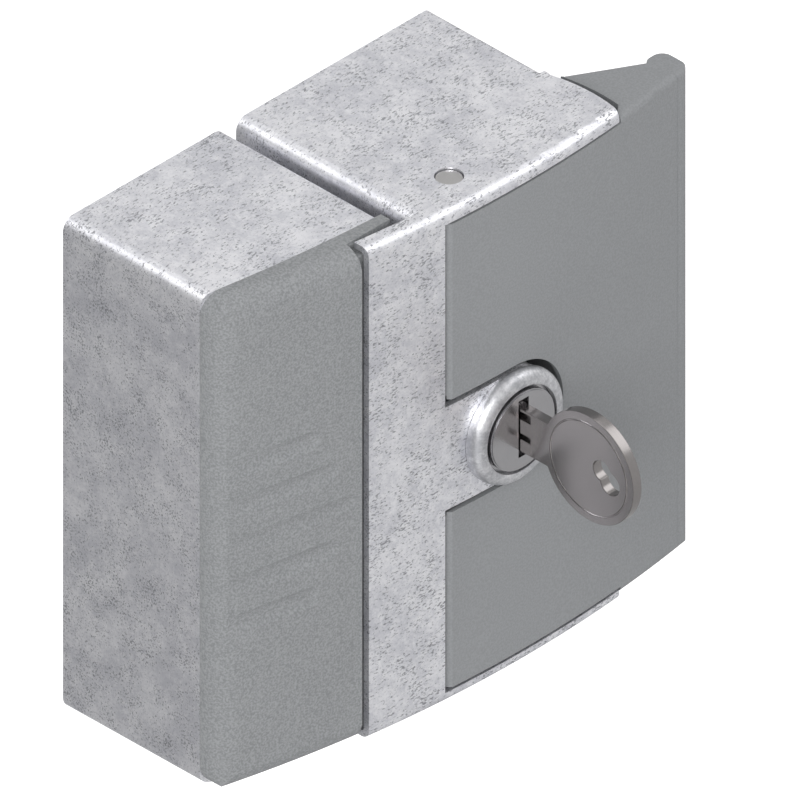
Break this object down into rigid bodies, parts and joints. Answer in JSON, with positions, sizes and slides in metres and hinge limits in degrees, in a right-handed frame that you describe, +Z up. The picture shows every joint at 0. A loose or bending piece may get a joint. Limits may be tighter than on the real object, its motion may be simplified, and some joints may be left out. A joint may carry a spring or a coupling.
{
  "type": "compact door lock",
  "caption": "Compact door lock in a lock half and a keeper half: arched pull handle, sheet-metal front strip, key cylinder and a sprung latch bolt.",
  "frame": {"origin": "middle of the lock half's back face, which lies against the door leaf", "axes": "+X along the door front from the keeper half to the handle, +Y back into the door leaf, +Z up"},
  "size_m": [0.1292, 0.0904, 0.12],
  "materials": {
    "galvanised": "galvanised, fine spangle",
    "zinc_plate": "zinc plated, satin",
    "spring_steel": "plain spring steel",
    "hardened_steel": "dark hardened steel",
    "grey_plastic": "fine grain, matte",
    "pin_steel": "ground pin ends",
    "satin_chrome": "satin",
    "nickel_key": "polished nickel silver",
    "bare_brass": "machined"
  },
  "bodies": {
    "lock_case": {"case_shell": "galvanised", "back_plate": "zinc_plate", "guide_studs": "zinc_plate", "spring_rod": "zinc_plate", "bolt_spring": "spring_steel", "pivot_pins": "pin_steel", "pin_clips": "spring_steel", "cylinder_collar": "galvanised", "cylinder_housing": "satin_chrome", "cylinder_nut": "zinc_plate"},
    "handle": {"pull_handle": "grey_plastic", "handle_bushes": "bare_brass", "drive_dowels": "hardened_steel"},
    "bolt": {"bolt_carriage": "zinc_plate", "latch_bolt": "zinc_plate", "bolt_screws": "hardened_steel"},
    "plug": {"cylinder_plug": "satin_chrome", "plug_clip": "spring_steel", "wafer_tumblers": "bare_brass", "tumbler_springs": "spring_steel", "lock_cam": "zinc_plate", "cam_washer": "zinc_plate", "cam_screw": "hardened_steel"},
    "key": {"key": "nickel_key"},
    "keeper": {"keeper_housing": "galvanised", "keeper_back_plate": "zinc_plate", "keeper_cover": "grey_plastic", "cover_screws": "hardened_steel", "strike_plate": "hardened_steel", "strike_screws": "zinc_plate"}
  },
  "joints": [
    {"name": "handle_pull", "type": "hinge", "parent": "lock_case", "child": "handle", "pos_m": [-0.0113, -0.0445, 0], "axis": [0, 0, -1], "range_deg": [0, 26]},
    {"name": "bolt_slide", "type": "slide", "parent": "lock_case", "child": "bolt", "axis": [1, 0, 0], "range_m": [0, 0.0106], "stiffness_N_per_m": 240, "springref_m": -0.008, "deforming": ["bolt_spring"]},
    {"name": "plug_turn", "type": "hinge", "parent": "lock_case", "child": "plug", "pos_m": [-0.0032, -0.045, 0], "axis": [0, 1, 0], "range_deg": [0, 90]},
    {"name": "key_withdraw", "type": "slide", "parent": "plug", "child": "key", "axis": [0, -1, 0], "range_m": [0, 0.028]},
    {"name": "keeper_apart", "type": "slide", "parent": "lock_case", "child": "keeper", "axis": [-1, 0, 0], "range_m": [0, 0.03]}
  ],
  "couplings": [
    {"joint": "bolt_slide", "follows": "handle_pull", "m_per_rad": 0.02318}
  ]
}
